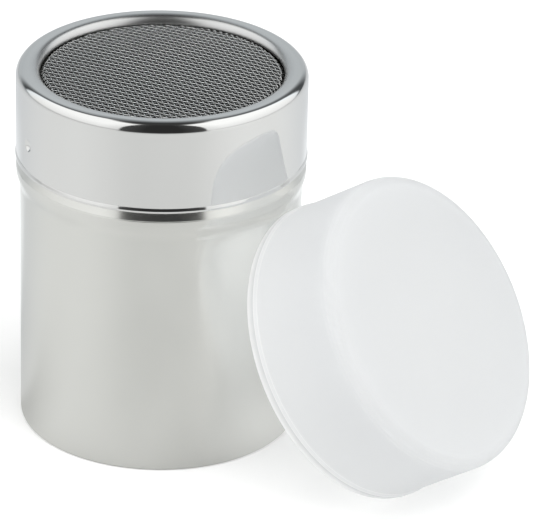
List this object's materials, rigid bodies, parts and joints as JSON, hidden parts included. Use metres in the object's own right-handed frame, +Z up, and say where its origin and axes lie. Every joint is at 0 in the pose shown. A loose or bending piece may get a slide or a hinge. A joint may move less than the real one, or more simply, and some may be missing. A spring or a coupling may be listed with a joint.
{
  "type": "mesh-top spice shaker",
  "caption": "Round steel shaker with a push-on collar holding a fine wire mesh, and a milky plastic dust cap taken off and leaning against its side.",
  "frame": {"origin": "centre of the canister's flat base, on the surface it stands on", "axes": "+Z up along the canister's axis; +X to the right, the side that the dust cap leans on; -Y towards the viewer"},
  "size_m": [0.1244, 0.1075, 0.092],
  "materials": {
    "satin_steel": "satin stainless steel with fine turned lines",
    "polished_steel": "mirror-polished stainless steel",
    "wire_mesh": "drawn stainless wire in a plain weave",
    "ring_steel": "plain pressed stainless steel",
    "milky_plastic": "translucent natural polypropylene, satin"
  },
  "bodies": {
    "canister_body": {"canister": "satin_steel"},
    "collar_body": {"collar": "polished_steel", "mesh_screen": "wire_mesh", "retaining_ring": "ring_steel"},
    "cap_body": {"dust_cap": "milky_plastic"}
  },
  "joints": [
    {"name": "collar_lift", "type": "slide", "parent": "canister_body", "child": "collar_body", "axis": [0, 0, 1], "range_m": [0, 0.04]},
    {"name": "cap_draw", "type": "slide", "parent": "canister_body", "child": "cap_body", "axis": [0.7032, -0.4446, 0.5548], "range_m": [0, 0.06]}
  ]
}
